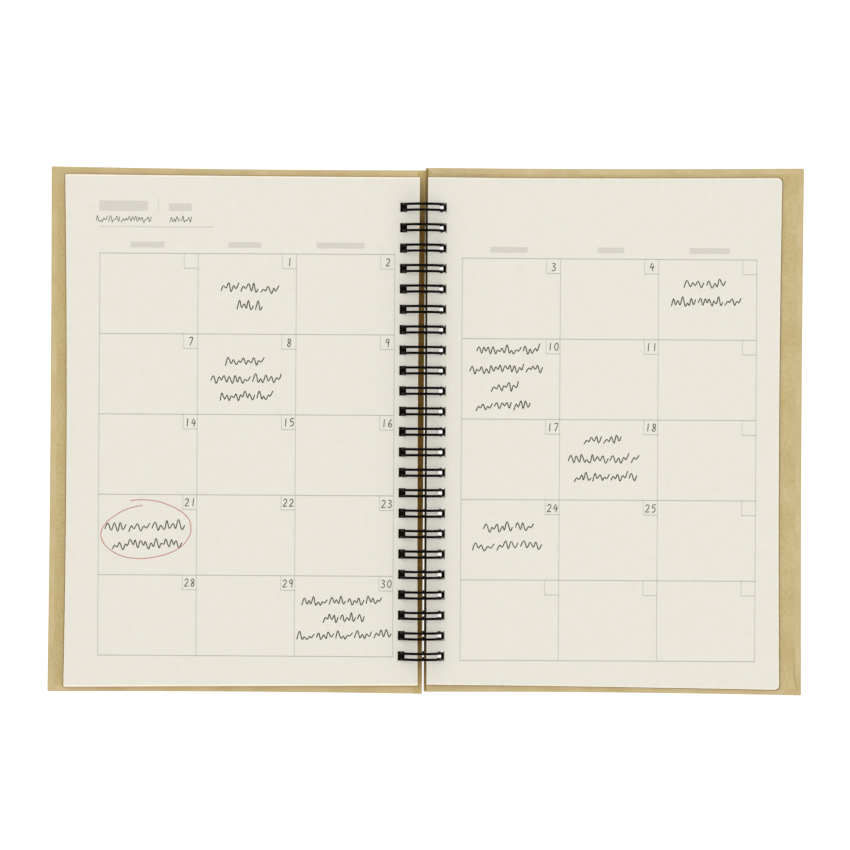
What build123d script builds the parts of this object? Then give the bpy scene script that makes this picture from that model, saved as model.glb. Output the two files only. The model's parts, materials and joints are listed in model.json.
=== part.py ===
from math import asin, atan2, cos, hypot, pi, radians, sin
import os

from build123d import *

# An open wire-bound monthly planner, lying flat with its front cover and used leaves turned to the left.
# X runs across both pages, Y along the spine and Z up from the table. Lengths are in millimetres.

# Leaves, measured from the ring's axis
page_width = 146.6
page_height = 212.0
page_corner_radius = 2.0
page_inset = 1.85
left_stack = 4.6
right_stack = 2.2
top_leaf_drop = 0.2
ease_start = 12.0
ease_run = 28.0

# Punching, shared by the covers, the leaves and the wire
loop_spacing = 8.467
punch_end_margin = 12.0
loop_count = int((page_height - 2 * punch_end_margin) / loop_spacing) + 1
page_hole_width = 3.6
cover_hole_width = 3.9
hole_height = 3.9
hole_margin = 4.25

# Wire binding
wire_across_flats = 0.95
ring_radius = 8.4
strand_spacing = 2.45
ring_steps = 16
bridge_bend = 0.55
tip_start_drop = 0.5
tip_end_drop = 2.3
tip_outset = 0.6
tip_steps = 4

# Covers: the front one is cut a little narrower, and both sit a little high on their row of holes
front_width = 156.2
back_width = 157.4
cover_overhang = 3.6
cover_height = page_height + 2 * cover_overhang
cover_thickness = 2.0
front_lift = 0.35
back_lift = 1.2
front_overlap = 0.45
back_inset = 1.05
seam_gap = 1.4

# Printed month grid
ink_height = 0.06
line_width = 0.3
columns = 3
rows = 5
column_width = 40.85
row_height = 33.4
date_box = 5.6
left_grid_margin = 9.95
left_grid_top = 32.5
right_grid_margin = 14.4
right_grid_top = 33.8

# Printed bars over the grids: headings and a rule on the left, weekday bars on both sides
heading_rise = 19.7
heading_height = 4.2
first_heading_width = 20.5
divider_start = 24.3
divider_height = 6.2
second_heading_start = 28.4
second_heading_width = 10.6
rule_rise = 11.0
rule_length = 47.2
weekday_rise = 3.6
weekday_height = 2.0
left_weekday_widths = (13.5, 13.0, 19.0)
right_weekday_widths = (15.5, 11.0, 16.5)

# Each ring is open low on its right side: the bridges lie midway in the gap between the last leaf and the back
# cover, and the tips reach down through the leaves' holes. The rest is drawn in equal straight steps whose mean
# radius is the ring's
bridge_depth = top_leaf_drop + right_stack + seam_gap / 2
base_angle = -asin(bridge_depth / ring_radius)
tip_angle = -asin(tip_start_drop / ring_radius)
ring_step = (2 * pi + base_angle - tip_angle) / ring_steps
vertex_radius = ring_radius * 2 / (1 + cos(ring_step / 2))
ring_outer_radius = vertex_radius + wire_across_flats / 2 / cos(ring_step / 2)

# The ring stands on the table, and each cover leans about the ring's axis until its outer edge does too
axis_height = ring_outer_radius
front_depth = top_leaf_drop + left_stack
back_depth = top_leaf_drop + right_stack + seam_gap
front_reach = front_width - front_overlap
back_reach = back_width + back_inset


def lean(depth, reach):
    """The angle, in radians, that brings a cover's outer edge down to the table."""
    return asin(axis_height / hypot(depth, reach)) - atan2(depth, reach)


front_lean = lean(front_depth + cover_thickness, front_reach)
back_lean = lean(back_depth + cover_thickness, back_reach)
axis_x = (front_reach * cos(front_lean) - back_reach * cos(back_lean)) / 2
middle_y = -(front_lift + back_lift) / 2

# Each side's plane passes through the ring's axis, with x from the spine to the outer edge and z up
left_side = Plane(
    origin=(axis_x, middle_y, axis_height),
    x_dir=(-cos(front_lean), 0, -sin(front_lean)),
    z_dir=(-sin(front_lean), 0, cos(front_lean)),
)
right_side = Plane(
    origin=(axis_x, middle_y, axis_height),
    x_dir=(cos(back_lean), 0, -sin(back_lean)),
    z_dir=(sin(back_lean), 0, cos(back_lean)),
)


def outer_corners(part, plane):
    """The two upright edges of a sheet that lie furthest from the spine."""
    upright = part.edges().filter_by(lambda edge: abs(edge.tangent_at(0).dot(plane.z_dir)) > cos(radians(1)))
    return upright.sort_by(lambda edge: (edge.center() - plane.origin).dot(plane.x_dir))[-2:]


# Front cover: flat board, face down on the left
with BuildPart() as front_cover:
    with BuildSketch(left_side.offset(-front_depth)):
        with Locations((front_reach - front_width / 2, -front_lift)):
            Rectangle(front_width, cover_height)
        with Locations((hole_margin - front_overlap + cover_hole_width / 2, 0)):
            with GridLocations(0, loop_spacing, 1, loop_count):
                Rectangle(cover_hole_width, hole_height, mode=Mode.SUBTRACT)
    extrude(amount=-cover_thickness)
front_cover.part.label = "front_cover"

# Back cover: the other board, face up on the right
with BuildPart() as back_cover:
    with BuildSketch(right_side.offset(-back_depth)):
        with Locations((back_reach - back_width / 2, back_lift)):
            Rectangle(back_width, cover_height)
        with Locations((hole_margin + back_inset + cover_hole_width / 2, 0)):
            with GridLocations(0, loop_spacing, 1, loop_count):
                Rectangle(cover_hole_width, hole_height, mode=Mode.SUBTRACT)
    extrude(amount=-cover_thickness)
back_cover.part.label = "back_cover"

# Left pages: the stack of turned leaves, flat on the front cover
with BuildPart() as left_pages:
    with BuildSketch(left_side.offset(-top_leaf_drop)):
        with Locations((page_inset + page_width / 2, 0)):
            Rectangle(page_width, page_height)
        with Locations((page_inset + hole_margin + page_hole_width / 2, 0)):
            with GridLocations(0, loop_spacing, 1, loop_count):
                Rectangle(page_hole_width, hole_height, mode=Mode.SUBTRACT)
    extrude(amount=-left_stack)
    fillet(outer_corners(left_pages.part, left_side), page_corner_radius)
left_pages.part.label = "left_pages"

# Right pages: held up by the wire's seam at the spine, easing down to lie on the back cover
right_section = Plane(origin=right_side.origin, x_dir=right_side.x_dir, z_dir=(0, -1, 0))
ease_shares = ((0, 0), (0.3, 0.18), (0.7, 0.82), (1, 1))
with BuildPart() as right_pages:
    top_line = [(page_inset, -top_leaf_drop)]
    for along_share, down_share in ease_shares:
        top_line.append((ease_start + ease_run * along_share, -top_leaf_drop - seam_gap * down_share))
    top_line.append((page_inset + page_width, -top_leaf_drop - seam_gap))
    bottom_line = [(x, z - right_stack) for x, z in reversed(top_line)]
    with BuildSketch(right_section):
        with BuildLine():
            Polyline(*top_line, *bottom_line, close=True)
        make_face()
    extrude(amount=page_height / 2, both=True)
    with BuildSketch(right_side):
        with Locations((page_inset + hole_margin + page_hole_width / 2, 0)):
            with GridLocations(0, loop_spacing, 1, loop_count):
                Rectangle(page_hole_width, hole_height)
    extrude(amount=-back_depth, mode=Mode.SUBTRACT)
    fillet(outer_corners(right_pages.part, right_side), page_corner_radius)
right_pages.part.label = "right_pages"

# Printed sheets: thin ink lines on the top leaf of each stack, with a small date box in each cell's top corner
grid_width = columns * column_width
grid_height = rows * row_height
heading_bars = (
    (0, heading_rise, first_heading_width, heading_height),
    (divider_start, heading_rise, line_width, divider_height),
    (second_heading_start, heading_rise, second_heading_width, heading_height),
    (0, rule_rise, rule_length, line_width),
)


def weekday_bars(widths):
    """One bar over the middle of each column."""
    return [
        (column * column_width + (column_width - width) / 2, weekday_rise, width, weekday_height)
        for column, width in enumerate(widths)
    ]


def print_sheet(inner_margin, top_margin, right_sign, up, bars):
    """The month grid, placed from the leaf's spine edge and top edge, and the bars, placed from its top left."""
    centre_x = page_inset + inner_margin + grid_width / 2
    centre_y = up * (page_height / 2 - top_margin - grid_height / 2)
    with Locations((centre_x, centre_y)):
        Rectangle(grid_width + line_width, grid_height + line_width)
        with GridLocations(column_width, row_height, columns, rows):
            Rectangle(column_width - line_width, row_height - line_width, mode=Mode.SUBTRACT)
            box_place = (right_sign * (column_width - date_box) / 2, up * (row_height - date_box) / 2)
            with Locations(box_place):
                Rectangle(date_box + line_width, date_box + line_width)
                Rectangle(date_box - line_width, date_box - line_width, mode=Mode.SUBTRACT)
    for start, rise, width, height in bars:
        bar_x = centre_x + right_sign * (start + width / 2 - grid_width / 2)
        with Locations((bar_x, centre_y + up * (grid_height / 2 + rise))):
            Rectangle(width, height)


with BuildPart() as left_page_print:
    with BuildSketch(left_side.offset(-top_leaf_drop)):
        left_bars = [*heading_bars, *weekday_bars(left_weekday_widths)]
        print_sheet(left_grid_margin, left_grid_top, -1, -1, left_bars)
    extrude(amount=ink_height)
left_page_print.part.label = "left_page_print"

# On the right the ink is a thin skin that follows the top leaf's line, cut to the sheet's pattern
with BuildPart() as right_page_print:
    with BuildSketch(right_section):
        with BuildLine():
            Polyline(*top_line, *[(x, z + ink_height) for x, z in reversed(top_line)], close=True)
        make_face()
    extrude(amount=page_height / 2, both=True)
    with BuildSketch(right_side.offset(-back_depth)):
        print_sheet(right_grid_margin, right_grid_top, 1, 1, weekday_bars(right_weekday_widths))
    extrude(amount=back_depth, mode=Mode.INTERSECT)
right_page_print.part.label = "right_page_print"

# Wire: one loop, from the middle of one bridge, round the ring, about the tip and back to the next bridge
def ring_point(step, y):
    """A corner of the ring's path, counted from the bridge, down and round to the tip."""
    angle = base_angle - back_lean - step * ring_step
    return Vector(axis_x + vertex_radius * cos(angle), y, axis_height + vertex_radius * sin(angle))


half_spacing = strand_spacing / 2
base = ring_point(0, 0)
bend_foot = base + (ring_point(1, 0) - base).normalized() * bridge_bend
tip_foot = ring_point(ring_steps, 0)
tip_line = Vector(tip_outset, 0, tip_start_drop - tip_end_drop)
tip_turn_start = tip_foot + tip_line.normalized() * (tip_line.length - half_spacing)

strand = [
    base + Vector(0, -loop_spacing / 2, 0),
    base + Vector(0, -half_spacing - bridge_bend, 0),
    bend_foot + Vector(0, -half_spacing, 0),
]
strand += [ring_point(step, -half_spacing) for step in range(1, ring_steps + 1)]
for step in range(tip_steps // 2):
    turn = pi * step / tip_steps
    along = tip_turn_start + tip_line.normalized() * (half_spacing * sin(turn))
    strand.append(along + Vector(0, -half_spacing * cos(turn), 0))
tip_end = tip_turn_start + tip_line.normalized() * half_spacing
loop_path = strand + [tip_end] + [Vector(p.X, -p.Y, p.Z) for p in reversed(strand)]

with BuildPart() as loop:
    with BuildLine() as loop_line:
        Polyline(*loop_path)
    outward_angle = base_angle - back_lean - ring_step / 2
    outward = (cos(outward_angle), 0, sin(outward_angle))
    with BuildSketch(Plane(origin=loop_path[0], x_dir=outward, z_dir=(0, 1, 0))):
        RegularPolygon(wire_across_flats / 2, 6, major_radius=False, rotation=30)
    sweep(path=loop_line.line, transition=Transition.RIGHT)

with BuildPart() as wire_binding:
    with Locations((0, middle_y)):
        with GridLocations(0, loop_spacing, 1, loop_count):
            add(loop.part)
wire_binding.part.label = "wire_binding"

os.makedirs("parts", exist_ok=True)
export_step(front_cover.part, "parts/front_cover.step")
export_step(back_cover.part, "parts/back_cover.step")
export_step(left_pages.part, "parts/left_pages.step")
export_step(right_pages.part, "parts/right_pages.step")
export_step(left_page_print.part, "parts/left_page_print.step")
export_step(right_page_print.part, "parts/right_page_print.step")
export_step(wire_binding.part, "parts/wire_binding.step")
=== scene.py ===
import json
import math
import random

import bmesh
import bpy
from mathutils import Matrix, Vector


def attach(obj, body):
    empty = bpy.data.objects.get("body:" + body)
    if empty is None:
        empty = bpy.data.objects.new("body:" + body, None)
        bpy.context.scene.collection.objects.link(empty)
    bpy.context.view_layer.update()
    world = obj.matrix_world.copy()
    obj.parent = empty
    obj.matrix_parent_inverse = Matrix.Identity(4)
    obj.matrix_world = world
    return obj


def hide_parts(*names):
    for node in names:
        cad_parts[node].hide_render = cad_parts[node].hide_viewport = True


# An open wire-bound monthly planner, seen from straight above. Lengths are in metres.

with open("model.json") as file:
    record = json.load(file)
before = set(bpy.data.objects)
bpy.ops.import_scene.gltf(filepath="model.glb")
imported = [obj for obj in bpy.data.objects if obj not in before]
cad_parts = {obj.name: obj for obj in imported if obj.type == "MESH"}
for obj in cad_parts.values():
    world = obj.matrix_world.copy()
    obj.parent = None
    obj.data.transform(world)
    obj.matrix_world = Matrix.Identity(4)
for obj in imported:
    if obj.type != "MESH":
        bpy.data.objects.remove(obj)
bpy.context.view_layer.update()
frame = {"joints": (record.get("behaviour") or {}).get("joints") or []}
MM = 0.001

# Punching, shared by covers, leaves and wire
PITCH = 8.467 * MM
LOOPS = 23
PAGE_HOLE_WIDTH = 3.6 * MM
TOP_HOLE_WIDTH = 2.9 * MM
COVER_HOLE_WIDTH = 3.9 * MM
HOLE_HEIGHT = 3.9 * MM
HOLE_MARGIN = 4.25 * MM

# Sheets, measured outwards and upwards from the ring's axis
FRONT_WIDTH = 156.2 * MM
BACK_WIDTH = 157.4 * MM
COVER_HEIGHT = 219.2 * MM
FRONT_LIFT = 0.35 * MM
BACK_LIFT = 1.2 * MM
COVER_THICKNESS = 2.0 * MM
FRONT_OVERLAP = 0.45 * MM
BACK_INSET = 1.05 * MM
PAGE_WIDTH = 146.6 * MM
PAGE_HEIGHT = 212.0 * MM
PAGE_INSET = 1.85 * MM
TOP_DROP = 0.2 * MM
LEFT_STACK = 4.6 * MM
RIGHT_STACK = 2.2 * MM
SEAM_GAP = 1.4 * MM
EASE_START = 12.0 * MM
EASE_RUN = 28.0 * MM
LEAF_PITCH = 0.1 * MM
LEAF_THICKNESS = 0.082 * MM

AXIS = Vector(frame["joints"][0]["pos_m"])
FRONT_DEPTH = TOP_DROP + LEFT_STACK
BACK_DEPTH = TOP_DROP + RIGHT_STACK + SEAM_GAP


def lean(depth, reach):
    """The angle that brings a cover's outer edge down to the table."""
    return math.asin(AXIS.z / math.hypot(depth, reach)) - math.atan2(depth, reach)


LEFT, RIGHT = -1, 1
LEAN = {
    LEFT: lean(FRONT_DEPTH + COVER_THICKNESS, FRONT_WIDTH - FRONT_OVERLAP),
    RIGHT: lean(BACK_DEPTH + COVER_THICKNESS, BACK_WIDTH + BACK_INSET),
}


def place(side, u, v, w):
    """A point given outwards from the ring's axis, up the page and above the leaf's plane."""
    c, s = math.cos(LEAN[side]), math.sin(LEAN[side])
    return Vector((AXIS.x + side * (u * c + w * s), AXIS.y + v, AXIS.z - u * s + w * c))


def smooth(t):
    t = min(max(t, 0.0), 1.0)
    return t * t * (3 - 2 * t)


def top_height(side, u):
    """Height of the top leaf over the plane through the ring's axis."""
    if side == LEFT:
        return -TOP_DROP
    return -TOP_DROP - SEAM_GAP * smooth((u - EASE_START) / EASE_RUN)


def link(name, data):
    obj = bpy.data.objects.new(name, data)
    bpy.context.scene.collection.objects.link(obj)
    return obj


def finish_mesh(name, bm, material, body, replaced=()):
    """Makes a piece of the mesh, which rides on a body and may stand for CAD nodes."""
    bmesh.ops.recalc_face_normals(bm, faces=bm.faces)
    mesh = bpy.data.meshes.new(name)
    bm.to_mesh(mesh)
    bm.free()
    mesh.materials.append(material)
    obj = link(name, mesh)
    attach(obj, body)
    if replaced:
        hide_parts(*replaced)
    return obj


def hole_edges():
    """Heights of the lower and upper edges of every punched hole."""
    edges = []
    for loop in range(LOOPS):
        centre = (loop - (LOOPS - 1) / 2) * PITCH
        edges += [centre - HOLE_HEIGHT / 2, centre + HOLE_HEIGHT / 2]
    return edges


def bow(share):
    """One in the middle of an edge and nothing at its ends, for a share from -1 to 1."""
    return max(1 - share * share, 0.0)


CORNER_STEPS = 5


def add_sheet(
    bm, side, start, width, height, corner, hole, surface, thickness, extra_u, trim, bows, lift=0.0,
):
    """A thin punched sheet with rounded outer corners, lying under surface(u, v).

    trim gives how far the spine edge and the outer edge lean over half the height, and how much is missing
    at the top and bottom edges, each at the spine and at the outer edge. bows gives how far the middles of
    the spine, outer, top and bottom edges are drawn towards the sheet's middle.
    """
    lean_in, lean_out, top_in, top_out, low_in, low_out = trim
    bow_in, bow_out, bow_top, bow_low = bows
    end = start + width
    us = [start, *hole, *extra_u, end - corner]
    for k in range(1, CORNER_STEPS + 1):
        us.append(end - corner + corner * math.sin(math.pi / 2 * k / CORNER_STEPS))
    holes = hole_edges()
    rows = len(holes) + 2
    top, bottom = [], []
    for u in us:
        inset = 0.0
        if u > end - corner:
            inset = corner - math.sqrt(max(corner ** 2 - (u - end + corner) ** 2, 0.0))
        out = (u - start) / width
        low = -height / 2 + lift + inset + low_in * (1 - out) + low_out * out + bow_low * bow(2 * out - 1)
        high = height / 2 + lift - inset - top_in * (1 - out) - top_out * out - bow_top * bow(2 * out - 1)
        sway = lean_in if u == start else lean_out if u >= end - corner else 0.0
        pull = bow_in if u == start else -bow_out if u >= end - corner else 0.0
        points = [(u + sway * 2 * v / height + pull * bow(2 * v / height), v) for v in (low, *holes, high)]
        top.append([bm.verts.new(place(side, x, y, surface(x, y))) for x, y in points])
        bottom.append([bm.verts.new(place(side, x, y, surface(x, y) - thickness)) for x, y in points])
    solid = {}
    for i in range(len(us) - 1):
        for j in range(rows - 1):
            solid[i, j] = not (i == 1 and j % 2 == 1)
    for (i, j), there in solid.items():
        if not there:
            continue
        for grid in (top, bottom):
            bm.faces.new((grid[i][j], grid[i + 1][j], grid[i + 1][j + 1], grid[i][j + 1]))
        for di, dj, a, b in (
            (-1, 0, (i, j), (i, j + 1)),
            (1, 0, (i + 1, j), (i + 1, j + 1)),
            (0, -1, (i, j), (i + 1, j)),
            (0, 1, (i, j + 1), (i + 1, j + 1)),
        ):
            if not solid.get((i + di, j + dj), False):
                bm.faces.new((top[a[0]][a[1]], top[b[0]][b[1]], bottom[b[0]][b[1]], bottom[a[0]][a[1]]))


# Materials
def material(name):
    mat = bpy.data.materials.new(name)
    mat.use_nodes = True
    nodes, links = mat.node_tree.nodes, mat.node_tree.links
    return mat, nodes, links, nodes["Principled BSDF"]


def srgb(r, g, b):
    def linear(c):
        c /= 255
        return c / 12.92 if c <= 0.04045 else ((c + 0.055) / 1.055) ** 2.4

    return (linear(r), linear(g), linear(b), 1.0)


def noise(nodes, links, scale, detail=3.0, stretch=None):
    """A noise texture in object space, which is the frame of the part."""
    coords = nodes.new("ShaderNodeTexCoord")
    texture = nodes.new("ShaderNodeTexNoise")
    texture.inputs["Scale"].default_value = scale
    texture.inputs["Detail"].default_value = detail
    vector = coords.outputs["Object"]
    if stretch:
        mapping = nodes.new("ShaderNodeMapping")
        mapping.inputs["Scale"].default_value = stretch
        links.new(vector, mapping.inputs["Vector"])
        vector = mapping.outputs["Vector"]
    links.new(vector, texture.inputs["Vector"])
    return texture.outputs["Fac"]


def ramp(nodes, links, fac, low, high, at=(0.3, 0.7)):
    node = nodes.new("ShaderNodeValToRGB")
    node.color_ramp.elements[0].position, node.color_ramp.elements[0].color = at[0], low
    node.color_ramp.elements[1].position, node.color_ramp.elements[1].color = at[1], high
    links.new(fac, node.inputs["Fac"])
    return node.outputs["Color"]


def mix(nodes, links, fac, a, b):
    node = nodes.new("ShaderNodeMix")
    node.data_type = "RGBA"
    for value, name, kind in ((fac, "Factor", "VALUE"), (a, "A", "RGBA"), (b, "B", "RGBA")):
        target = next(s for s in node.inputs if s.name == name and s.type == kind)
        if isinstance(value, bpy.types.NodeSocket):
            links.new(value, target)
        else:
            target.default_value = value
    return next(s for s in node.outputs if s.type == "RGBA")


def bump(nodes, links, shader, height, strength, distance):
    node = nodes.new("ShaderNodeBump")
    node.inputs["Strength"].default_value = strength
    node.inputs["Distance"].default_value = distance
    links.new(height, node.inputs["Height"])
    links.new(node.outputs["Normal"], shader.inputs["Normal"])


def dress(links, shader, colour, roughness, specular):
    links.new(colour, shader.inputs["Base Color"])
    shader.inputs["Roughness"].default_value = roughness
    shader.inputs["Specular IOR Level"].default_value = specular


def kraft_material():
    """Kraft paper: warm brown mottling, pressed fibres and a few dark flecks."""
    mat, nodes, links, shader = material("kraft_board")
    broad = noise(nodes, links, 60, 4)
    colour = ramp(nodes, links, broad, srgb(189, 168, 118), srgb(202, 184, 138))
    fibre = noise(nodes, links, 1100, 4, (1.0, 0.7, 1.0))
    fibres = ramp(nodes, links, fibre, srgb(180, 157, 104), srgb(218, 201, 152))
    colour = mix(nodes, links, 0.3, colour, fibres)
    fleck = noise(nodes, links, 2600, 2, (1.0, 0.4, 1.0))
    flecks = ramp(nodes, links, fleck, (0, 0, 0, 1), (0.5, 0.5, 0.5, 1), (0.68, 0.76))
    colour = mix(nodes, links, flecks, colour, srgb(150, 124, 76))
    dress(links, shader, colour, 0.85, 0.25)
    bump(nodes, links, shader, fibre, 0.35, 0.00005)
    return mat


def rim_material():
    """The turned-in rim of the kraft wrap, a little paler than the rest."""
    mat, nodes, links, shader = material("kraft_rim")
    broad = noise(nodes, links, 90, 4)
    colour = ramp(nodes, links, broad, srgb(194, 173, 126), srgb(207, 189, 146))
    dress(links, shader, colour, 0.85, 0.25)
    bump(nodes, links, shader, noise(nodes, links, 1100, 4), 0.35, 0.00005)
    return mat


# Where the painted shade along the spine starts and finishes fading, up and down from the middle
PALE_START = 84 * MM
PALE_END = 109 * MM


def edge_material(name, low, high, end):
    """Kraft with painted shade beside the wire, the shade fading towards both ends of the spine."""
    mat, nodes, links, shader = material(name)
    grain = noise(nodes, links, 800, 3)
    coords = nodes.new("ShaderNodeTexCoord")
    split = nodes.new("ShaderNodeSeparateXYZ")
    links.new(coords.outputs["Object"], split.inputs["Vector"])
    outwards = nodes.new("ShaderNodeMath")
    outwards.operation = "ABSOLUTE"
    links.new(split.outputs["Y"], outwards.inputs[0])
    pale = nodes.new("ShaderNodeMapRange")
    pale.interpolation_type = "SMOOTHSTEP"
    pale.inputs["From Min"].default_value = PALE_START
    pale.inputs["From Max"].default_value = PALE_END
    links.new(outwards.outputs[0], pale.inputs["Value"])
    dark = ramp(nodes, links, grain, low, high)
    dress(links, shader, mix(nodes, links, pale.outputs["Result"], dark, end), 0.9, 0.15)
    return mat


def paper_material(name, base, low):
    """Uncoated cream paper with a faint cloudy formation and tooth."""
    mat, nodes, links, shader = material(name)
    cloud = noise(nodes, links, 350, 4)
    dress(links, shader, ramp(nodes, links, cloud, low, base, (0.35, 0.6)), 0.9, 0.2)
    bump(nodes, links, shader, noise(nodes, links, 4000, 3), 0.15, 0.00002)
    return mat


def ink_material(name, colour, faint):
    """Print or pen, or a dark strip of painted shade, with a faintly patchy tone."""
    mat, nodes, links, shader = material(name)
    patchy = noise(nodes, links, 3000, 2)
    dress(links, shader, ramp(nodes, links, patchy, colour, faint, (0.35, 0.75)), 0.8, 0.2)
    return mat


def wire_material():
    """Steel wire in a smooth black plastic coat."""
    mat, nodes, links, shader = material("black_coated_wire")
    speck = noise(nodes, links, 1800, 2)
    dress(links, shader, ramp(nodes, links, speck, srgb(4, 3, 3), srgb(8, 7, 6)), 0.45, 0.05)
    bump(nodes, links, shader, speck, 0.1, 0.00002)
    return mat


kraft = kraft_material()
rim_kraft = rim_material()
# Painted shade: the back cover's spine edge, darkened for the shaded line beside the slit
board_edge_shade = edge_material("painted_board_edge_shade", srgb(48, 38, 20), srgb(62, 50, 27), srgb(150, 128, 76))
# Painted shadow: near-black strips for the deep shadow in the left holes and at the slit's top
shadow_paint = ink_material("painted_shadow", srgb(22, 18, 10), srgb(30, 24, 14))
crease = ink_material("kraft_crease", srgb(166, 142, 94), srgb(182, 160, 112))
# Painted shade: darker kraft on the front cover beside the wire, in the recess between the stacks
spine_shade_kraft = edge_material("painted_spine_shade", srgb(112, 84, 34), srgb(128, 98, 44), srgb(193, 173, 119))
# Painted shade: darker kraft for the wrap's fold, seen at the top of the slit
fold_shade_kraft = edge_material("fold_shade_kraft", srgb(118, 94, 34), srgb(132, 108, 46), srgb(176, 154, 92))
paper = paper_material("leaf_paper", srgb(229, 225, 214), srgb(227, 223, 211))
# Paler copies of the leaf paper for the leaves under the top one: a painted highlight along the stacks'
# edges
left_edge_highlight = paper_material("left_leaf_edge_highlight", srgb(250, 240, 223), srgb(246, 236, 216))
right_edge_highlight = paper_material("right_leaf_edge_highlight", srgb(240, 234, 220), srgb(236, 229, 213))
shaded_leaf = ink_material("shaded_leaf_edge", srgb(124, 106, 68), srgb(140, 122, 82))
printed = ink_material("grey_print", srgb(198, 195, 187), srgb(208, 205, 196))
printed_dark = ink_material("darker_grey_print", srgb(184, 181, 172), srgb(196, 193, 184))
printed_bold = ink_material("grey_heading_print", srgb(207, 203, 193), srgb(214, 210, 199))
pen = ink_material("dark_pen", srgb(58, 55, 49), srgb(84, 80, 72))
red_pen = ink_material("red_pen", srgb(188, 110, 98), srgb(208, 148, 134))
black_wire = wire_material()


# Covers
COVER_CORNER = 0.6 * MM
COVER_BEVEL = 0.3 * MM
COVER_COLUMNS = 10
RIM = 2.1 * MM
RIM_THICKNESS = 0.05 * MM
RIM_MARGIN = 0.35 * MM
RIM_STEPS = 12


def add_strip(bm, side, corners, height, thickness):
    """A flat strip through four (u, v) corners, lying on the given height."""
    rings = [[bm.verts.new(place(side, u, v, w)) for u, v in corners] for w in (height + thickness, height)]
    bm.faces.new(rings[0])
    bm.faces.new(rings[1][::-1])
    for k in range(4):
        a, b = k, (k + 1) % 4
        bm.faces.new((rings[0][a], rings[0][b], rings[1][b], rings[1][a]))


def add_rim(bm, side, outer, inner, height):
    """A flat rim between two rows of (u, v) points."""
    for k in range(len(outer) - 1):
        add_strip(bm, side, (outer[k], outer[k + 1], inner[k + 1], inner[k]), height, RIM_THICKNESS)


def cover(name, side, start, end, hole_start, depth, lift, body, trim, bows):
    """A punched board with soft edges, and the turned-in rim of its wrap on the inner face."""
    width = end - start
    bm = bmesh.new()
    hole = (hole_start, hole_start + COVER_HOLE_WIDTH)
    columns = [start + width * k / COVER_COLUMNS for k in range(1, COVER_COLUMNS)]
    add_sheet(
        bm, side, start, width, COVER_HEIGHT, COVER_CORNER, hole, lambda u, v: -depth, COVER_THICKNESS,
        columns, trim, bows, lift,
    )
    obj = finish_mesh(name + "_board", bm, kraft, body, [name])
    bevel = obj.modifiers.new("soft_edges", "BEVEL")
    bevel.width = COVER_BEVEL
    bevel.segments = 2
    bevel.limit_method = "ANGLE"

    rim = bmesh.new()
    lean_in, lean_out, top_in, top_out, low_in, low_out = trim
    _, bow_out, bow_top, bow_low = bows

    def high(u):
        out = (u - start) / width
        missing = top_in * (1 - out) + top_out * out + bow_top * bow(2 * out - 1)
        return COVER_HEIGHT / 2 + lift - RIM_MARGIN - missing

    def low(u):
        out = (u - start) / width
        missing = low_in * (1 - out) + low_out * out + bow_low * bow(2 * out - 1)
        return RIM_MARGIN + lift - COVER_HEIGHT / 2 + missing

    def far(v):
        return end - RIM_MARGIN + lean_out * 2 * v / COVER_HEIGHT - bow_out * bow(2 * v / COVER_HEIGHT)

    def spread(first, last):
        return [first + (last - first) * k / RIM_STEPS for k in range(RIM_STEPS + 1)]

    near, corner = start + RIM_MARGIN + abs(lean_in), far(COVER_HEIGHT / 2)
    across, inner = spread(near, corner), spread(near + RIM, corner - RIM)
    add_rim(rim, side, [(u, high(u)) for u in across], [(u, high(u) - RIM) for u in inner], -depth)
    add_rim(rim, side, [(u, low(u) + RIM) for u in inner], [(u, low(u)) for u in across], -depth)
    top_v, low_v = high(across[-1]), low(across[-1])
    up, inner = spread(low_v, top_v), spread(low_v + RIM, top_v - RIM)
    add_rim(rim, side, [(far(v), v) for v in up], [(far(v) - RIM, v) for v in inner], -depth)
    finish_mesh(name + "_rim", rim, rim_kraft, body)


FRONT_TRIM = [value * MM for value in (-0.2, -0.25, 1.2, 0.3, 0.3, 0.35)]
BACK_TRIM = [value * MM for value in (-0.2, 0.0, 1.05, 0.3, 0.3, -0.5)]
FRONT_BOWS = [value * MM for value in (0.0, 0.4, 0.4, 0.35)]
BACK_BOWS = [value * MM for value in (0.0, 0.45, 0.35, 0.5)]
FRONT_EDGE = -FRONT_OVERLAP - 0.12 * MM
BACK_EDGE = BACK_INSET + 0.1 * MM
FRONT_HOLES = HOLE_MARGIN - FRONT_OVERLAP
BACK_HOLES = HOLE_MARGIN + BACK_INSET
FRONT_END = FRONT_WIDTH - FRONT_OVERLAP - 0.45 * MM
BACK_END = BACK_WIDTH + BACK_INSET
cover(
    "front_cover", LEFT, FRONT_EDGE, FRONT_END, FRONT_HOLES, FRONT_DEPTH, FRONT_LIFT, "front",
    FRONT_TRIM, FRONT_BOWS,
)
cover(
    "back_cover", RIGHT, BACK_EDGE, BACK_END, BACK_HOLES, BACK_DEPTH, BACK_LIFT, "binding",
    BACK_TRIM, BACK_BOWS,
)


def spine_band(name, side, span, reach, height, thickness, sway, mat, body):
    """A band of painted shade along a cover's spine edge, leaning with it."""
    (start, end), (low, high) = span, reach
    foot, head = sway * 2 * low / COVER_HEIGHT, sway * 2 * high / COVER_HEIGHT
    corners = ((start + foot, low), (end + foot, low), (end + head, high), (start + head, high))
    bm = bmesh.new()
    add_strip(bm, side, corners, height, thickness)
    finish_mesh(name, bm, mat, body)
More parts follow.
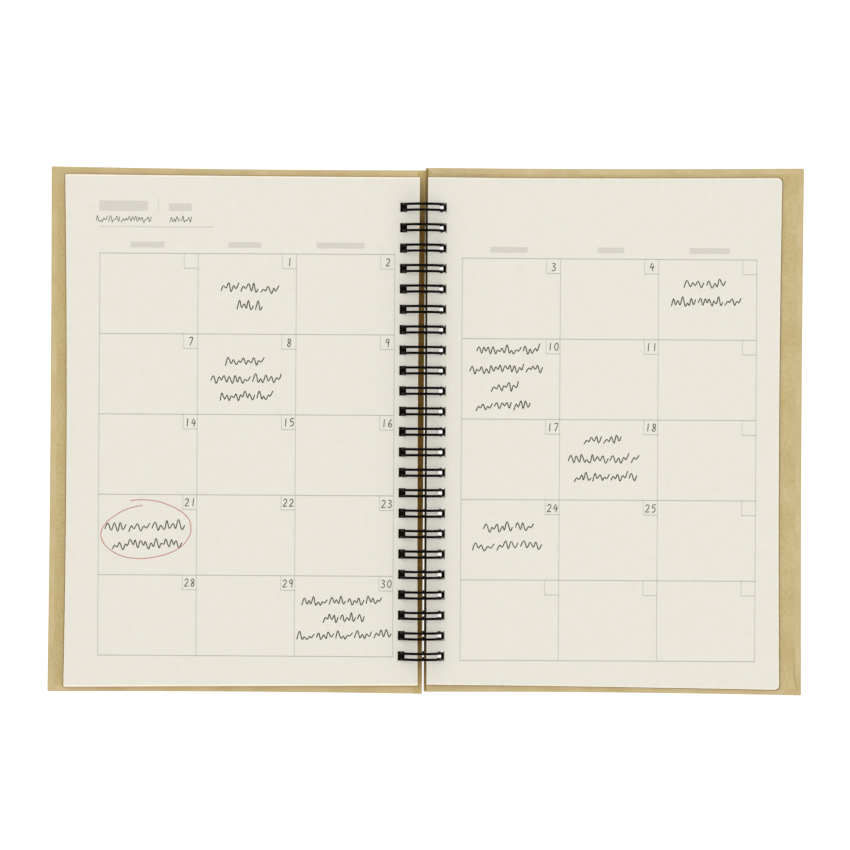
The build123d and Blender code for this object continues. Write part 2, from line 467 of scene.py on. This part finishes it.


# Painted shade at the spine: each band's span across, its reach up the cover, its height and its thickness
HALF = COVER_HEIGHT / 2
HOLE_ROW = ((1 - LOOPS) / 2 * PITCH - 3.5 * MM, (LOOPS - 1) / 2 * PITCH + 3.5 * MM)
FRONT_HOLE_END = FRONT_HOLES + COVER_HOLE_WIDTH
FOLD_LOW = 93.5 * MM
# Painted shade: a darker kraft band along the front cover's spine edge, in the recess beside the wire
spine_band(
    "front_cover_spine_shade", LEFT, (0.13 * MM - FRONT_OVERLAP, 2.9 * MM),
    (0.6 * MM - HALF, HALF - 1.25 * MM), -FRONT_DEPTH, 0.06 * MM, FRONT_TRIM[0], spine_shade_kraft, "front",
)
# Painted shadow: a near-black strip on the front cover, seen at the bottom of the left leaves' holes
spine_band(
    "front_cover_hole_shade", LEFT, (FRONT_HOLE_END + 0.02 * MM, 10.1 * MM), HOLE_ROW,
    -FRONT_DEPTH, 0.03 * MM, 0.0, shadow_paint, "front",
)
# Painted shadow: a near-black strip at the floor of the front cover's holes
spine_band(
    "front_cover_hole_floor_shade", LEFT, (5.6 * MM, FRONT_HOLE_END + 0.05 * MM), HOLE_ROW,
    -FRONT_DEPTH - COVER_THICKNESS + 0.05 * MM, 0.1 * MM, 0.0, shadow_paint, "front",
)
# Painted shadow: a near-black strip under the back cover's edge, for the dark top of the slit
spine_band(
    "front_cover_fold_shade", LEFT, (-2.2 * MM, -0.2 * MM), (FOLD_LOW, HALF - 1.6 * MM),
    -FRONT_DEPTH - 1.8 * MM, 0.1 * MM, 0.0, shadow_paint, "front",
)
# The wrap's fold at the top of the slit, in darker kraft as painted shade
spine_band(
    "front_cover_wrap_fold", LEFT, (-0.75 * MM, 0.6 * MM - FRONT_OVERLAP), (FOLD_LOW, HALF - 1.0 * MM),
    -FRONT_DEPTH - 0.7 * MM, 0.3 * MM, 0.0, fold_shade_kraft, "front",
)
# Painted shade: a near-black strip on the back cover's spine edge, beside the slit
spine_band(
    "back_cover_spine_edge_shade", RIGHT, (BACK_EDGE - 0.02 * MM, BACK_EDGE + 1.15 * MM),
    (2.0 * MM - HALF, HALF - 0.35 * MM), -BACK_DEPTH - COVER_THICKNESS + 0.25 * MM,
    COVER_THICKNESS - 0.19 * MM, BACK_TRIM[0], board_edge_shade, "binding",
)

CREASE_HALF_WIDTH = 0.13 * MM
CREASE_THICKNESS = 0.07 * MM


def wrap_crease(name, side, points, depth, body):
    """A fine crease in the wrap, through (u, v) points in millimetres on a cover's inner face."""
    bm = bmesh.new()
    for a, b in zip(points, points[1:]):
        a, b = Vector(a) * MM, Vector(b) * MM
        half = Vector((b.y - a.y, a.x - b.x)).normalized() * CREASE_HALF_WIDTH
        add_strip(bm, side, (a + half, b + half, b - half, a - half), -depth, CREASE_THICKNESS)
    finish_mesh(name, bm, crease, body)


wrap_crease("back_cover_corner_mitre", RIGHT, ((1.6, 109.6), (3.3, 107.2)), BACK_DEPTH, "binding")
wrap_crease(
    "back_cover_corner_crease", RIGHT, ((155.6, -95.5), (155.4, -99.5), (155.9, -103.5), (157.2, -107.0)),
    BACK_DEPTH, "binding",
)


# Leaves
TOP_LEAF_TRIM = 0.6 * MM
TOP_LEAF_START = 0.25 * MM
SHADED_REACH = 0.35 * MM


def leaves(name, side, stack, body, node, edges, corner, fan, reach, trim, bows, start):
    """A stack of separate leaves, each a little out of line with the next, under a smaller top leaf.

    The last leaf but one reaches out furthest and is dark, for the shaded line round the stack's foot.
    """
    hole_start, hole_end = PAGE_INSET + HOLE_MARGIN, PAGE_INSET + HOLE_MARGIN + PAGE_HOLE_WIDTH
    rng = random.Random(name)
    top, rest, dark = bmesh.new(), bmesh.new(), bmesh.new()
    count = round(stack / LEAF_PITCH)
    samples = [60 * MM, 85 * MM, 115 * MM]
    if side == RIGHT:
        samples = [EASE_START + EASE_RUN * k / 10 for k in range(11)] + samples
    for leaf in range(count):
        share = leaf / (count - 1)
        first, shaded = leaf == 0, leaf == count - 2
        inset = fan * (1.0 if first else 0.4 * (1 - share) ** 2) + rng.uniform(0.0, 0.15) * MM
        inset -= SHADED_REACH if shaded else 0.0
        change = TOP_LEAF_TRIM if first else -SHADED_REACH if shaded else 0.0
        slip = [*trim[:2], *(value + rng.uniform(0.0, 0.2) * MM + change for value in trim[2:])]
        near = start + (TOP_LEAF_START if first else rng.uniform(0.0, 0.1) * MM)
        hole = (hole_end - TOP_HOLE_WIDTH if first else hole_start, hole_end)
        drop = leaf * LEAF_PITCH
        add_sheet(
            top if first else dark if shaded else rest, side, near,
            PAGE_INSET + PAGE_WIDTH + reach - start - inset, PAGE_HEIGHT, corner, hole,
            lambda u, v: top_height(side, u) - drop, LEAF_THICKNESS, samples, slip, bows,
        )
    # The leaves under the top one take the paler paper, as a painted highlight on the stack's edges
    finish_mesh(name, rest, edges, body, [node])
    finish_mesh(name + "_top", top, paper, body)
    finish_mesh(name + "_shaded", dark, shaded_leaf, body)


LEFT_BOWS = [value * MM for value in (0.45, 0.95, 0.1, 0.0)]
RIGHT_BOWS = [value * MM for value in (-0.15, 0.7, 0.3, 0.15)]
LEFT_TRIM = [value * MM for value in (0.1, 0.2, 0.3, -0.3, 0.6, -0.8)]
RIGHT_TRIM = [value * MM for value in (-0.25, 0.05, 0.2, -0.45, 1.0, -0.6)]
leaves(
    "left_leaves", LEFT, LEFT_STACK, "turned_leaves", "left_pages", left_edge_highlight,
    0.6 * MM, 0.8 * MM, 0.55 * MM, LEFT_TRIM, LEFT_BOWS, 1.45 * MM,
)
leaves(
    "right_leaves", RIGHT, RIGHT_STACK, "coming_leaves", "right_pages", right_edge_highlight,
    1.9 * MM, 0.9 * MM, 0.85 * MM, RIGHT_TRIM, RIGHT_BOWS, 2.1 * MM,
)


# Wire binding: one wire bent into double loops
WIRE_RADIUS = 0.53 * MM
RING_RADIUS = 8.305 * MM
STRAND_SPACING = 2.45 * MM
BRIDGE_DEPTH = TOP_DROP + RIGHT_STACK + SEAM_GAP / 2
BRIDGE_BEND = 0.55 * MM
TIP_START_DROP = 0.5 * MM
TIP_END_DROP = 2.3 * MM
TIP_OUTSET = 0.6 * MM
BEND_STEPS = 4
RING_STEPS = 40
TIP_STEPS = 6


def ring_point(angle, v):
    x, z = RING_RADIUS * math.cos(angle), RING_RADIUS * math.sin(angle)
    return Vector((AXIS.x + x, AXIS.y + v, AXIS.z + z))


def loop_points(centre):
    """The wire's centreline from one bridge, down round the ring, about the tip and back."""
    base_angle = -math.asin(BRIDGE_DEPTH / RING_RADIUS) - LEAN[RIGHT]
    tip_angle = -math.asin(TIP_START_DROP / RING_RADIUS) - LEAN[RIGHT] - 2 * math.pi
    half = STRAND_SPACING / 2
    strand = []
    base = ring_point(base_angle, 0)
    foot_angle = base_angle - BRIDGE_BEND / RING_RADIUS
    foot = ring_point(foot_angle, 0)
    for k in range(BEND_STEPS + 1):
        t = math.pi / 2 * k / BEND_STEPS
        point = base.lerp(foot, 1 - math.cos(t))
        point.y = AXIS.y - half - BRIDGE_BEND * (1 - math.sin(t))
        strand.append(point)
    for k in range(1, RING_STEPS + 1):
        strand.append(ring_point(foot_angle + (tip_angle - foot_angle) * k / RING_STEPS, -half))
    tip_line = Vector((TIP_OUTSET, 0, TIP_START_DROP - TIP_END_DROP))
    tip_foot = ring_point(tip_angle, 0)
    turn_start = tip_foot + tip_line.normalized() * (tip_line.length - half)
    for k in range(TIP_STEPS):
        t = math.pi / 2 * k / TIP_STEPS
        point = turn_start + tip_line.normalized() * (half * math.sin(t))
        point.y = AXIS.y - half * math.cos(t)
        strand.append(point)
    tip = turn_start + tip_line.normalized() * half
    back = [Vector((p.x, 2 * AXIS.y - p.y, p.z)) for p in reversed(strand)]
    return [p + Vector((0, centre, 0)) for p in [*strand, tip, *back]]


def wire_binding():
    """The whole wire, with half a bridge at each end."""
    points = []
    for loop in range(LOOPS):
        points += loop_points((loop - (LOOPS - 1) / 2) * PITCH)
    half_bridge = Vector((0, PITCH / 2 - STRAND_SPACING / 2 - BRIDGE_BEND, 0))
    points = [points[0] - half_bridge, *points, points[-1] + half_bridge]
    curve = bpy.data.curves.new("wire_line", "CURVE")
    curve.dimensions = "3D"
    curve.bevel_depth = WIRE_RADIUS
    curve.bevel_resolution = 3
    curve.use_fill_caps = True
    spline = curve.splines.new("POLY")
    spline.points.add(len(points) - 1)
    for target, point in zip(spline.points, points):
        target.co = (*point, 1)
    curve_object = link("wire_line", curve)
    bpy.context.view_layer.update()
    graph = bpy.context.evaluated_depsgraph_get()
    mesh = bpy.data.meshes.new_from_object(curve_object.evaluated_get(graph))
    bpy.data.objects.remove(curve_object)
    mesh.name = "twin_loop_wire"
    for face in mesh.polygons:
        face.use_smooth = True
    mesh.materials.clear()
    mesh.materials.append(black_wire)
    obj = link("twin_loop_wire", mesh)
    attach(obj, "binding")
    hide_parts("wire_binding")


wire_binding()


# Print and pen: thin ribbons that lie on the top leaf
PAGES = ((LEFT, "turned_leaves", "left"), (RIGHT, "coming_leaves", "right"))
INK_LIFT = 0.02 * MM
RIBBON_STEP = 2.0 * MM


def add_ribbon(bm, side, points, width, lift=INK_LIFT, cap=0.25):
    """A flat line of ink through (u, v) points, reaching past its ends by a share of its width."""
    line = [Vector(points[0])]
    for a, b in zip(points, points[1:]):
        a, b = Vector(a), Vector(b)
        pieces = max(1, math.ceil((b - a).length / RIBBON_STEP))
        line += [a.lerp(b, k / pieces) for k in range(1, pieces + 1)]
    rows = []
    for k, p in enumerate(line):
        along = (line[min(k + 1, len(line) - 1)] - line[max(k - 1, 0)]).normalized()
        across = Vector((-along.y, along.x)) * (width / 2)
        if k == 0:
            p = p - along * (width * cap)
        if k == len(line) - 1:
            p = p + along * (width * cap)
        ends = [p + across, p - across]
        rows.append([bm.verts.new(place(side, q.x, q.y, top_height(side, q.x) + lift)) for q in ends])
    for a, b in zip(rows, rows[1:]):
        bm.faces.new((a[0], a[1], b[1], b[0]))


def add_block(bm, side, u0, u1, middle, height):
    add_ribbon(bm, side, [(u0, middle), (u1, middle)], height, cap=0.0)


COLUMNS, ROWS = 3, 5
COLUMN_WIDTH = 40.85 * MM
ROW_HEIGHT = 33.4 * MM
DATE_BOX = 5.8 * MM
DATE_BOX_HEIGHT = 6.1 * MM
LINE_WIDTH = 0.4 * MM
BOX_LINE_WIDTH = 0.8 * LINE_WIDTH
GRID_MARGIN = {LEFT: 9.95 * MM, RIGHT: 14.4 * MM}
GRID_TOP = {LEFT: 32.5 * MM, RIGHT: 33.8 * MM}
# Grey bars: widths, shifts to the right and places, in millimetres where not otherwise said
COLUMN_BAR_WIDTHS = {LEFT: (14.1, 13.6, 19.8), RIGHT: (15.5, 11.0, 16.5)}
COLUMN_BAR_SHIFTS = {LEFT: (-0.6, -1.1, -2.15), RIGHT: (-1.1, 0.5, 0.7)}
COLUMN_BAR_RISE = 3.6 * MM
COLUMN_BAR_HEIGHT = 2.4 * MM
HEAD_RISE = 19.7 * MM
HEAD_BARS = ((-0.3, 20.2, 4.2, 0.0), (24.1, 0.3, 6.2, 0.0), (28.5, 9.6, 3.1, -0.55))
RULE_RISE = 11.0 * MM
RULE_LENGTH = 47.2 * MM
RULE_WIDTH = 0.5 * MM


def cell_corner(side, column, row):
    """The (u, v) of a cell's top corner nearest the left of the page, and the sign of u to the right."""
    inner = PAGE_INSET + GRID_MARGIN[side]
    top = PAGE_HEIGHT / 2 - GRID_TOP[side] - row * ROW_HEIGHT
    if side == LEFT:
        return inner + (COLUMNS - column) * COLUMN_WIDTH, top, -1
    return inner + column * COLUMN_WIDTH, top, 1


def page_grid(side, direction):
    """The grid's lines in one direction: across with the date boxes' feet, or up with their sides."""
    bm = bmesh.new()
    left, top, to_right = cell_corner(side, 0, 0)
    right = left + to_right * COLUMNS * COLUMN_WIDTH
    bottom = top - ROWS * ROW_HEIGHT
    if direction == "up":
        for column in range(COLUMNS + 1):
            u = left + to_right * column * COLUMN_WIDTH
            add_ribbon(bm, side, [(u, top), (u, bottom)], LINE_WIDTH)
    else:
        for row in range(ROWS + 1):
            v = top - row * ROW_HEIGHT
            add_ribbon(bm, side, [(left, v), (right, v)], LINE_WIDTH)
    for column in range(COLUMNS):
        for row in range(ROWS):
            u, v, _ = cell_corner(side, column, row)
            box_u = u + to_right * (COLUMN_WIDTH - DATE_BOX)
            low = v - DATE_BOX_HEIGHT
            if direction == "up":
                add_ribbon(bm, side, [(box_u, v), (box_u, low)], BOX_LINE_WIDTH)
            else:
                add_ribbon(bm, side, [(box_u, low), (box_u + to_right * DATE_BOX, low)], BOX_LINE_WIDTH)
    return bm


for side, body, word in PAGES:
    grid = page_grid(side, "up")
    finish_mesh(word + "_page_grid", grid, printed, body, [word + "_page_print"])
for side, body, word in PAGES:
    finish_mesh(word + "_page_rows", page_grid(side, "across"), printed_dark, body)


def page_bars(side):
    """Plain grey bars: three and a rule over the left grid, and one over each column."""
    bm = bmesh.new()
    left, top, to_right = cell_corner(side, 0, 0)
    for column, (width, shift) in enumerate(zip(COLUMN_BAR_WIDTHS[side], COLUMN_BAR_SHIFTS[side])):
        middle = left + to_right * ((column + 0.5) * COLUMN_WIDTH + shift * MM)
        half = width * MM / 2
        add_block(bm, side, middle - half, middle + half, top + COLUMN_BAR_RISE, COLUMN_BAR_HEIGHT)
    if side == LEFT:
        for start, width, height, rise in HEAD_BARS:
            u = left - start * MM
            add_block(bm, side, u, u - width * MM, top + HEAD_RISE + rise * MM, height * MM)
        add_ribbon(bm, side, [(left, top + RULE_RISE), (left - RULE_LENGTH, top + RULE_RISE)], RULE_WIDTH)
    return bm


for side, body, word in PAGES:
    finish_mesh(word + "_page_bars", page_bars(side), printed_bold, body)

# Pen strokes of each digit, in a box one unit high
DIGITS = {
    "0": [[
        (0.30, 1), (0.08, 0.75), (0.05, 0.35), (0.22, 0.02), (0.42, 0.1), (0.52, 0.5), (0.46, 0.85),
        (0.30, 1),
    ]],
    "1": [[(0.30, 1), (0.28, 0)]],
    "2": [[(0.05, 0.8), (0.25, 1), (0.47, 0.85), (0.42, 0.55), (0.05, 0.02), (0.52, 0.06)]],
    "3": [[
        (0.08, 0.95), (0.35, 1), (0.45, 0.78), (0.22, 0.56), (0.48, 0.4), (0.42, 0.1), (0.2, 0),
        (0.05, 0.1),
    ]],
    "4": [[(0.3, 1), (0.05, 0.42), (0.55, 0.45)], [(0.44, 0.75), (0.36, 0)]],
    "5": [[(0.5, 1), (0.15, 0.97), (0.1, 0.6), (0.35, 0.62), (0.48, 0.35), (0.35, 0.05), (0.05, 0.02)]],
    "6": [[
        (0.42, 1), (0.12, 0.6), (0.06, 0.25), (0.2, 0), (0.42, 0.08), (0.45, 0.32), (0.28, 0.45),
        (0.08, 0.3),
    ]],
    "7": [[(0.03, 0.95), (0.5, 1), (0.2, 0)]],
    "8": [[
        (0.45, 0.88), (0.25, 1), (0.1, 0.82), (0.2, 0.58), (0.45, 0.35), (0.38, 0.05), (0.15, 0.02),
        (0.08, 0.25), (0.4, 0.62), (0.45, 0.88),
    ]],
    "9": [[(0.45, 0.72), (0.28, 0.52), (0.08, 0.65), (0.15, 0.95), (0.4, 0.98), (0.45, 0.72), (0.36, 0)]],
}
DATES = {
    LEFT: (("", "1", "2"), ("7", "8", "9"), ("14", "15", "16"), ("21", "22", "23"), ("28", "29", "30")),
    RIGHT: (("3", "4", ""), ("10", "11", ""), ("17", "18", ""), ("24", "25", ""), ("", "", "")),
}
DIGIT_HEIGHT = 3.1 * MM
DIGIT_STEP = 2.6 * MM
DIGIT_PEN_WIDTH = 0.36 * MM
PEN_WIDTH = 0.44 * MM
FINE_PEN_WIDTH = 0.26 * MM
RED_PEN_WIDTH = 0.36 * MM
PEN_LIFT = 0.035 * MM
RED_PEN_LIFT = 0.045 * MM


def page_dates(side):
    """The numbers in the date boxes, in pen."""
    bm = bmesh.new()
    rng = random.Random("dates" + str(side))
    for row, names in enumerate(DATES[side]):
        for column, name in enumerate(names):
            corner_u, corner_v, to_right = cell_corner(side, column, row)
            middle_u = corner_u + to_right * (COLUMN_WIDTH - DATE_BOX / 2)
            base_v = corner_v - DATE_BOX_HEIGHT / 2 - DIGIT_HEIGHT / 2 - rng.uniform(0.0, 0.4) * MM
            start = -(len(name) - 1) / 2 * DIGIT_STEP - 0.27 * DIGIT_HEIGHT
            for k, digit in enumerate(name):
                for stroke in DIGITS[digit]:
                    points = [
                        (
                            middle_u + to_right * (start + k * DIGIT_STEP + (x + 0.05 * y) * DIGIT_HEIGHT),
                            base_v + y * DIGIT_HEIGHT,
                        )
                        for x, y in stroke
                    ]
                    add_ribbon(bm, side, curve_through(points), DIGIT_PEN_WIDTH, lift=PEN_LIFT)
    return bm


def curve_through(points, steps=4):
    """A smooth line through the points."""
    if len(points) < 3:
        return points
    pts = [Vector(p) for p in points]
    out = []
    for k in range(len(pts) - 1):
        p0, p1, p2, p3 = pts[max(k - 1, 0)], pts[k], pts[k + 1], pts[min(k + 2, len(pts) - 1)]
        for n in range(steps):
            t = n / steps
            out.append(
                0.5 * (
                    2 * p1 + (p2 - p0) * t + (2 * p0 - 5 * p1 + 4 * p2 - p3) * t * t
                    + (3 * p1 - p0 - 3 * p2 + p3) * t ** 3
                )
            )
    out.append(pts[-1])
    return [tuple(p) for p in out]


# Rows of pen squiggles: side, start and end across, place up the page, number of waves, their height
# and the row's slope, in millimetres
SQUIGGLES = (
    (LEFT, 136.0, 112.3, 87.5, 9, 2.7, 0.0), (LEFT, 105.3, 95.7, 87.4, 4, 2.7, 0.0),
    (LEFT, 83.9, 59.0, 59.1, 6, 3.7, -0.06), (LEFT, 77.2, 65.6, 51.7, 3, 4.0, -0.06),
    (LEFT, 81.7, 65.0, 28.9, 4, 3.9, 0.03), (LEFT, 87.8, 57.5, 21.3, 7, 3.9, 0.03),
    (LEFT, 84.1, 61.2, 14.3, 6, 3.7, 0.03), (LEFT, 131.4, 97.4, -40.0, 7, 4.4, 0.03),
    (LEFT, 128.5, 98.6, -47.4, 7, 4.2, 0.03), (LEFT, 49.5, 15.4, -70.6, 9, 3.5, 0.03),
    (LEFT, 40.7, 22.8, -77.6, 5, 3.5, 0.03), (LEFT, 51.4, 11.6, -84.7, 10, 3.5, 0.03),
    (RIGHT, 108.7, 126.9, 62.1, 4, 3.7, 0.03), (RIGHT, 103.3, 133.2, 54.6, 8, 3.9, 0.03),
    (RIGHT, 22.5, 49.5, 34.1, 7, 3.9, 0.03), (RIGHT, 19.7, 50.8, 26.2, 8, 3.9, 0.03),
    (RIGHT, 28.8, 40.9, 18.8, 3, 3.7, 0.03), (RIGHT, 22.2, 45.9, 10.9, 6, 3.7, 0.03),
    (RIGHT, 67.2, 83.8, -3.0, 4, 3.9, 0.03), (RIGHT, 61.0, 91.3, -10.9, 7, 3.9, 0.03),
    (RIGHT, 63.5, 90.1, -18.4, 7, 3.7, 0.03), (RIGHT, 25.9, 47.5, -39.4, 5, 3.9, 0.03),
    (RIGHT, 21.0, 51.3, -47.3, 6, 3.9, 0.03),
)


# Turning points of the pen along one wave, in shares of the row's height
WAVES = (
    (0.1, 0.95, 0.25, 0.7), (0.3, 0.8, 0.0, 0.55), (0.0, 0.6, 0.35, 1.0), (0.2, 1.05, 0.1, 0.45),
    (0.4, 0.9, 0.15, 0.85), (0.05, 0.5, 0.3, 0.75),
)


def page_squiggles(side):
    """Meaningless pen squiggles: uneven joined waves."""
    bm = bmesh.new()
    rng = random.Random("squiggles" + str(side))
    for row_side, first, last, middle, waves, height, slope in SQUIGGLES:
        if row_side != side:
            continue
        pitch = (last - first) / waves
        points = []
        for k in range(waves):
            wave = rng.choice(WAVES)
            for n, y in enumerate(wave):
                across = first + pitch * (k + (n + rng.uniform(-0.2, 0.2)) / len(wave))
                rise = slope * abs(across - (first + last) / 2) * (1 if k >= waves / 2 else -1)
                up = height * (y - 0.45) + rng.uniform(-0.25, 0.25)
                points.append((across * MM, (middle + rise + up) * MM))
            if k == waves - 1 or (len(points) > len(wave) and rng.random() < 0.5):
                nib = PEN_WIDTH if height > 3 else FINE_PEN_WIDTH
                add_ribbon(bm, side, curve_through(points), nib, lift=PEN_LIFT)
                points = []
    return bm


def red_ring():
    """An open oval in red pen."""
    points = (
        (121.1, -29.3), (115.7, -28.9), (108.7, -29.8), (101.6, -32.7), (97.4, -36.0), (95.9, -39.7),
        (96.5, -43.9), (100.2, -48.5), (106.5, -51.6), (115.6, -53.3), (124.3, -52.4), (130.6, -48.7),
        (133.3, -44.1), (131.9, -39.5), (127.3, -35.4), (121.9, -32.6), (116.1, -31.2),
    )
    bm = bmesh.new()
    line = curve_through([(u * MM, v * MM) for u, v in points], 6)
    add_ribbon(bm, LEFT, line, RED_PEN_WIDTH, lift=RED_PEN_LIFT)
    return bm


for side, body, word in PAGES:
    finish_mesh(word + "_page_dates", page_dates(side), pen, body)
    finish_mesh(word + "_page_squiggles", page_squiggles(side), pen, body)
finish_mesh("left_page_red_ring", red_ring(), red_pen, "turned_leaves")


# Stage: a floor that the camera sees as white, and that keeps the object's soft shadow
FLOOR_SIZE = 40.0
FLOOR_BOUNCE = (0.8, 0.8, 0.8, 1)
FLOOR_SEEN = (0.27, 0.27, 0.27, 1)
FLOOR_GLOW = 0.92


def floor_material():
    mat, nodes, links, shader = material("white_floor")
    output = nodes["Material Output"]
    nodes.remove(shader)
    path = nodes.new("ShaderNodeLightPath")
    bounce = nodes.new("ShaderNodeBsdfDiffuse")
    bounce.inputs["Color"].default_value = FLOOR_BOUNCE
    seen = nodes.new("ShaderNodeBsdfDiffuse")
    seen.inputs["Color"].default_value = FLOOR_SEEN
    glow = nodes.new("ShaderNodeEmission")
    glow.inputs["Strength"].default_value = FLOOR_GLOW
    both = nodes.new("ShaderNodeAddShader")
    links.new(seen.outputs[0], both.inputs[0])
    links.new(glow.outputs[0], both.inputs[1])
    choose = nodes.new("ShaderNodeMixShader")
    links.new(path.outputs["Is Camera Ray"], choose.inputs[0])
    links.new(bounce.outputs[0], choose.inputs[1])
    links.new(both.outputs[0], choose.inputs[2])
    links.new(choose.outputs[0], output.inputs["Surface"])
    return mat


def floor():
    bm = bmesh.new()
    bmesh.ops.create_grid(bm, x_segments=8, y_segments=8, size=FLOOR_SIZE)
    mesh = bpy.data.meshes.new("floor")
    bm.to_mesh(mesh)
    bm.free()
    mesh.materials.append(floor_material())
    link("floor", mesh)


floor()


def area_light(name, location, size, power):
    """A square soft light that points at the middle of the part."""
    data = bpy.data.lights.new(name, "AREA")
    data.shape = "SQUARE"
    data.size = size
    data.energy = power
    obj = link(name, data)
    obj.location = location
    obj.rotation_euler = (-Vector(location)).to_track_quat("-Z", "Y").to_euler()


area_light("top", (0, 0.1, 2.5), 0.9, 15.0)
area_light("key", (-0.8, 0.8, 1.7), 1.5, 7.0)
area_light("fill", (1.0, -0.5, 1.5), 1.6, 6.0)

WORLD_STRENGTH = 0.595
world = bpy.data.worlds.new("studio")
bpy.context.scene.world = world
world.use_nodes = True
world.node_tree.nodes["Background"].inputs["Color"].default_value = (1, 1, 1, 1)
world.node_tree.nodes["Background"].inputs["Strength"].default_value = WORLD_STRENGTH

# Camera: straight above, with the small turn that the photograph has
CAMERA_HEIGHT = 2.2
CAMERA_OFFSET = (-0.22 * MM, 2.05 * MM)
FOCAL_PIXELS = 5279.0
FRAME_PIXELS = 850.0
SENSOR_WIDTH = 36.0
TURN = 0.0058
camera_data = bpy.data.cameras.new("camera")
camera_data.sensor_width = SENSOR_WIDTH
camera_data.lens = SENSOR_WIDTH * FOCAL_PIXELS / FRAME_PIXELS
camera = link("camera", camera_data)
camera.location = (*CAMERA_OFFSET, CAMERA_HEIGHT)
camera.rotation_euler = (0, 0, TURN)
bpy.context.scene.camera = camera
bpy.context.scene.view_settings.view_transform = "Standard"
